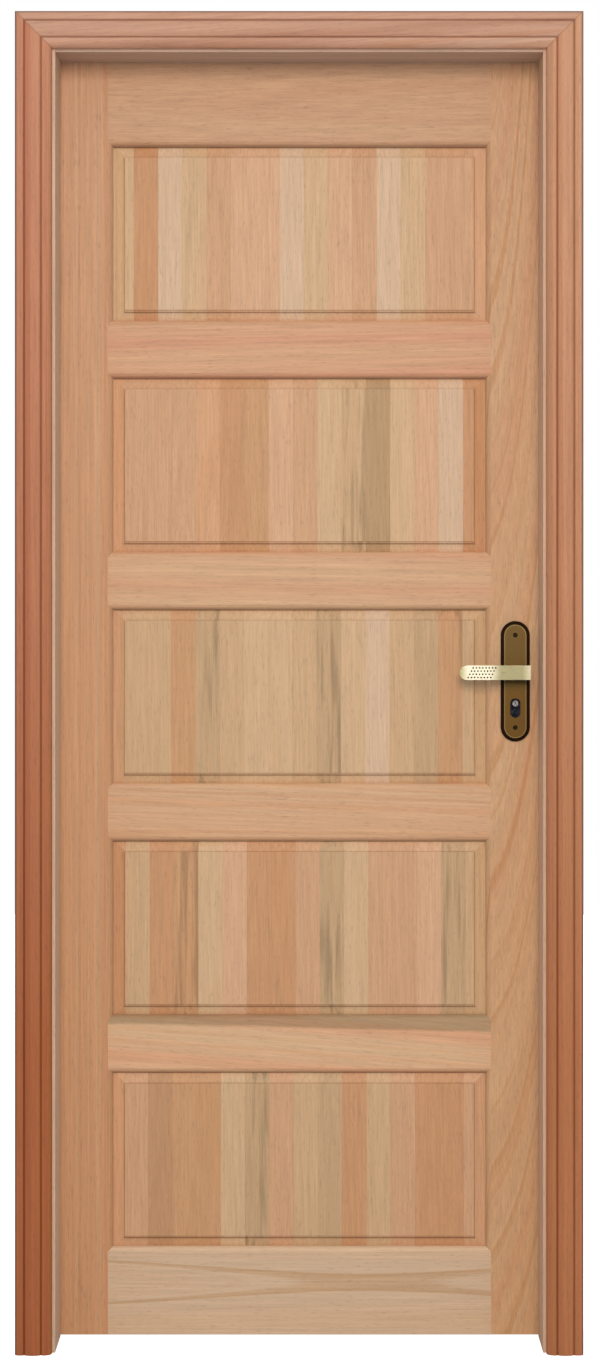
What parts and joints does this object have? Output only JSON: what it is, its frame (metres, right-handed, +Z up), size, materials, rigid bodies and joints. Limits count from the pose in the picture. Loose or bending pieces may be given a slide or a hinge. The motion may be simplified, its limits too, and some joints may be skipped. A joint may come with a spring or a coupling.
{
  "type": "prehung interior door",
  "caption": "Panelled wooden door leaf hinged in its own jamb, with mitred moulded casings, lever handles on long plates, a mortise lock and an oval key cylinder.",
  "frame": {"origin": "on the floor, at the middle of the part's width and depth", "axes": "+Z up, +X from the hinges to the lock, +Y through the doorway towards the side the leaf opens to"},
  "size_m": [0.936, 0.212, 2.171],
  "materials": {
    "casing_wood": "satin varnish, reddish",
    "jamb_wood": "satin varnish",
    "leaf_wood": "satin varnish, pale pink tan",
    "panel_wood": "satin varnish, mixed staves",
    "hardware_steel": "satin zinc",
    "inner_steel": "plain steel",
    "antique_brass": "dark antique brass",
    "lever_brass": "satin pale brass",
    "cylinder_nickel": "polished nickel"
  },
  "bodies": {
    "frame": {"front_casing_hinge_side": "casing_wood", "front_casing_strike_side": "casing_wood", "front_casing_head": "casing_wood", "back_casing_hinge_side": "casing_wood", "back_casing_strike_side": "casing_wood", "back_casing_head": "casing_wood", "hinge_jamb": "jamb_wood", "strike_jamb": "jamb_wood", "head_jamb": "jamb_wood", "frame_corner_screws": "inner_steel", "strike_plate": "hardware_steel", "strike_plate_screws": "hardware_steel", "jamb_hinge_plate_bottom": "hardware_steel", "jamb_hinge_plate_middle": "hardware_steel", "jamb_hinge_plate_top": "hardware_steel", "hinge_pin_bottom": "hardware_steel", "hinge_pin_middle": "hardware_steel", "hinge_pin_top": "hardware_steel", "jamb_hinge_screws": "hardware_steel"},
    "leaf": {"hinge_stile": "leaf_wood", "lock_stile": "leaf_wood", "bottom_rail": "leaf_wood", "cross_rail_1": "leaf_wood", "cross_rail_2": "leaf_wood", "cross_rail_3": "leaf_wood", "cross_rail_4": "leaf_wood", "top_rail": "leaf_wood", "panel_1": "panel_wood", "panel_2": "panel_wood", "panel_3": "panel_wood", "panel_4": "panel_wood", "panel_5": "panel_wood", "leaf_hinge_plate_bottom": "hardware_steel", "leaf_hinge_plate_middle": "hardware_steel", "leaf_hinge_plate_top": "hardware_steel", "leaf_hinge_screws": "hardware_steel", "front_plate": "antique_brass", "back_plate": "antique_brass", "front_plate_screws": "antique_brass", "back_plate_screws": "antique_brass", "lock_case": "inner_steel", "lock_faceplate": "hardware_steel", "faceplate_screws": "hardware_steel", "cylinder_body": "cylinder_nickel", "cylinder_screw": "inner_steel"},
    "lever_set": {"lever_front": "lever_brass", "lever_back": "lever_brass", "spindle": "inner_steel", "follower": "inner_steel"},
    "latch_bolt": {"latch_bolt": "hardware_steel"},
    "dead_bolt": {"dead_bolt": "hardware_steel"},
    "key_plug_front": {"front_key_plug": "cylinder_nickel", "cylinder_cam": "inner_steel"},
    "key_plug_back": {"back_key_plug": "cylinder_nickel"}
  },
  "joints": [
    {"name": "leaf_swing", "type": "hinge", "parent": "frame", "child": "leaf", "pos_m": [-0.4015, 0.062, 1.053], "axis": [0, 0, 1], "range_deg": [0, 170]},
    {"name": "lever_turn", "type": "hinge", "parent": "leaf", "child": "lever_set", "pos_m": [0.355, 0.0365, 1.094], "axis": [0, -1, 0], "range_deg": [0, 45], "stiffness_Nm_per_rad": 1.5, "springref_deg": -11.46},
    {"name": "latch_slide", "type": "slide", "parent": "leaf", "child": "latch_bolt", "axis": [1, 0, 0], "range_m": [0, 0.011]},
    {"name": "front_key_turn", "type": "hinge", "parent": "leaf", "child": "key_plug_front", "pos_m": [0.355, 0.013, 1.0415], "axis": [0, 1, 0], "range_deg": [0, 360]},
    {"name": "dead_bolt_slide", "type": "slide", "parent": "leaf", "child": "dead_bolt", "axis": [1, 0, 0], "range_m": [0, 0.012]},
    {"name": "back_key_turn", "type": "hinge", "parent": "leaf", "child": "key_plug_back", "pos_m": [0.355, 0.06, 1.0415], "axis": [0, 1, 0], "range_deg": [0, 360]}
  ],
  "couplings": [
    {"joint": "front_key_turn", "follows": "dead_bolt_slide", "rad_per_m": 523.5}
  ]
}
